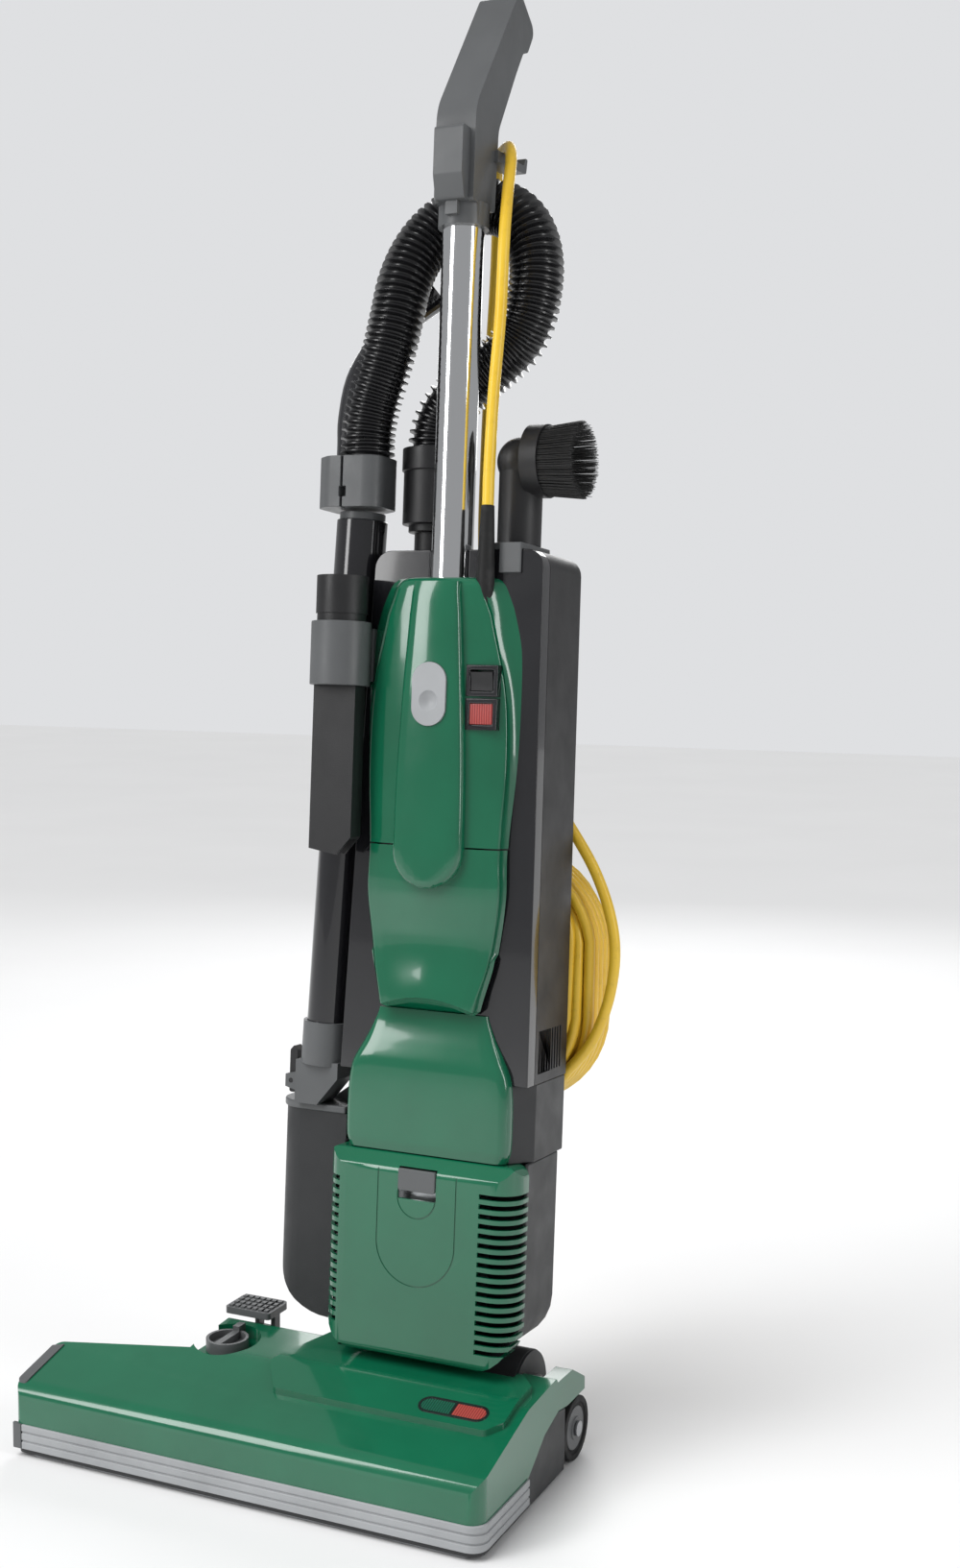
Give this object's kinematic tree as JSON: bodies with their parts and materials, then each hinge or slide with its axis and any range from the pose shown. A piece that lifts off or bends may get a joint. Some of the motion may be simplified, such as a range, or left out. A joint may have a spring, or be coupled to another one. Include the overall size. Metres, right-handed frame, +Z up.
{
  "type": "upright vacuum cleaner",
  "caption": "Commercial upright vacuum cleaner with an offset brush head, a reclining bag housing, an on-board wand and hose, clip-on tools and a wound mains cord.",
  "frame": {"origin": "on the floor under the middle of the head's width, 85 mm behind the front of the bumper", "axes": "+Z up along the upright's height, +X to the right seen from the front, +Y from the front of the head to its back"},
  "size_m": [0.4162, 0.2863, 1.1408],
  "materials": {
    "green_shell": "polished green moulding",
    "dark_housing": "fine-grained charcoal moulding",
    "gloss_black": "polished black moulding",
    "matte_black": "fine-grained black moulding",
    "mid_grey": "satin grey moulding",
    "bumper_grey": "satin pale grey moulding",
    "chrome": "bright plated tube",
    "steel": "plain machined steel",
    "rubber": "moulded rubber",
    "tyre": "soft rubber tread",
    "hose_black": "ribbed flexible plastic",
    "cord_yellow": "smooth flexible sheath",
    "bristle": "nylon bristle",
    "bag_paper": "filter paper",
    "green_lens": "translucent dark green",
    "red_lens": "translucent red"
  },
  "bodies": {
    "head": {"sole_plate": "steel", "head_chassis": "dark_housing", "rear_carriage": "dark_housing", "head_cover": "green_shell", "bumper": "bumper_grey", "left_end_trim": "mid_grey", "indicator_frame": "gloss_black", "green_lens": "green_lens", "red_lens": "red_lens", "brush_motor": "steel", "drive_belt": "rubber", "brush_bearings": "matte_black", "rear_axle": "steel", "head_screws": "steel"},
    "brush_roll": {"brush_core": "matte_black", "brush_bristles": "bristle"},
    "motor_pulley": {"motor_pulley": "steel"},
    "left_wheel": {"left_wheel_hub": "mid_grey", "left_tyre": "tyre"},
    "right_wheel": {"right_wheel_hub": "mid_grey", "right_tyre": "tyre"},
    "height_knob": {"height_knob": "mid_grey"},
    "release_pedal": {"release_pedal": "mid_grey"},
    "upright": {"neck_yoke": "dark_housing", "lower_housing": "dark_housing", "side_duct": "dark_housing", "duct_lid": "mid_grey", "dock_socket": "mid_grey", "mid_frame": "dark_housing", "bulge_cover": "green_shell", "control_panel": "green_shell", "bag_shell_front": "gloss_black", "bag_shell_rear": "matte_black", "dust_bag": "bag_paper", "vacuum_motor_can": "steel", "hose_cuff": "matte_black", "pole_tube": "chrome", "handle_grip": "mid_grey", "rear_cord_hooks": "matte_black", "switch_bezels": "gloss_black", "lamp_lens": "red_lens", "strain_relief": "rubber", "wand_tube": "gloss_black", "wand_collar": "mid_grey", "hose_handle": "gloss_black", "tool_holders": "mid_grey", "suction_hose": "hose_black", "power_cord": "cord_yellow", "cord_coil": "cord_yellow", "cord_plug": "matte_black"},
    "fan_rotor": {"fan_rotor": "steel"},
    "dock_lever": {"dock_lever": "matte_black"},
    "switch_rocker": {"switch_rocker": "matte_black"},
    "tube_button": {"tube_button": "bumper_grey"},
    "motor_cover": {"motor_cover": "green_shell"},
    "cover_latch": {"cover_latch": "mid_grey"},
    "filter_door": {"filter_door": "green_shell"},
    "crevice_tool": {"crevice_tool": "matte_black"},
    "duster": {"dusting_brush": "matte_black", "dusting_bristles": "bristle"}
  },
  "joints": [
    {"name": "brush_spin", "type": "hinge", "parent": "head", "child": "brush_roll", "pos_m": [0, -0.052, 0.024], "axis": [1, 0, 0], "continuous": true},
    {"name": "motor_pulley_spin", "type": "hinge", "parent": "head", "child": "motor_pulley", "pos_m": [-0.08, 0.024, 0.04], "axis": [1, 0, 0], "continuous": true},
    {"name": "left_wheel_spin", "type": "hinge", "parent": "head", "child": "left_wheel", "pos_m": [-0.08, 0.098, 0.025], "axis": [1, 0, 0], "continuous": true},
    {"name": "right_wheel_spin", "type": "hinge", "parent": "head", "child": "right_wheel", "pos_m": [0.193, 0.098, 0.025], "axis": [1, 0, 0], "continuous": true},
    {"name": "height_knob_turn", "type": "hinge", "parent": "head", "child": "height_knob", "pos_m": [-0.07, 0.019, 0.07], "axis": [0, 0, 1], "range_deg": [0, 240]},
    {"name": "pedal_press", "type": "hinge", "parent": "head", "child": "release_pedal", "pos_m": [-0.061, 0.066, 0.07], "axis": [-1, 0, 0], "range_deg": [0, 15], "stiffness_Nm_per_rad": 0.6, "springref_deg": -28.65},
    {"name": "upright_recline", "type": "hinge", "parent": "head", "child": "upright", "pos_m": [0.0975, 0.07, 0.058], "axis": [-1, 0, 0], "range_deg": [0, 70]},
    {"name": "fan_spin", "type": "hinge", "parent": "upright", "child": "fan_rotor", "pos_m": [0.0975, 0.06377, 0.15071], "axis": [0, 0.0732, 0.9973], "continuous": true},
    {"name": "dock_lever_press", "type": "hinge", "parent": "upright", "child": "dock_lever", "pos_m": [-0.033, 0.06661, 0.28486], "axis": [0, -0.9973, 0.0732], "range_deg": [0, 12], "stiffness_Nm_per_rad": 0.2, "springref_deg": -17.19},
    {"name": "switch_rock", "type": "hinge", "parent": "upright", "child": "switch_rocker", "pos_m": [0.1365, 0.05728, 0.60841], "axis": [-1, 0, 0], "range_deg": [0, 14]},
    {"name": "tube_button_press", "type": "slide", "parent": "upright", "child": "tube_button", "axis": [0, 0.9973, -0.0732], "range_m": [0, 0.004], "stiffness_N_per_m": 300, "springref_m": -0.003},
    {"name": "motor_cover_pull", "type": "slide", "parent": "upright", "child": "motor_cover", "axis": [0, -0.9973, 0.0732], "range_m": [0, 0.06]},
    {"name": "cover_latch_slide", "type": "slide", "parent": "motor_cover", "child": "cover_latch", "axis": [0, -0.0732, -0.9973], "range_m": [0, 0.005], "stiffness_N_per_m": 200, "springref_m": -0.004},
    {"name": "filter_door_slide", "type": "slide", "parent": "upright", "child": "filter_door", "axis": [0, -0.0732, -0.9973], "range_m": [0, 0.03]},
    {"name": "crevice_tool_lift", "type": "slide", "parent": "upright", "child": "crevice_tool", "axis": [0, 0.0732, 0.9973], "range_m": [0, 0.05]},
    {"name": "duster_lift", "type": "slide", "parent": "upright", "child": "duster", "axis": [0, 0.0732, 0.9973], "range_m": [0, 0.03]}
  ],
  "couplings": [
    {"joint": "motor_pulley_spin", "follows": "brush_spin", "ratio": 1.9286}
  ]
}
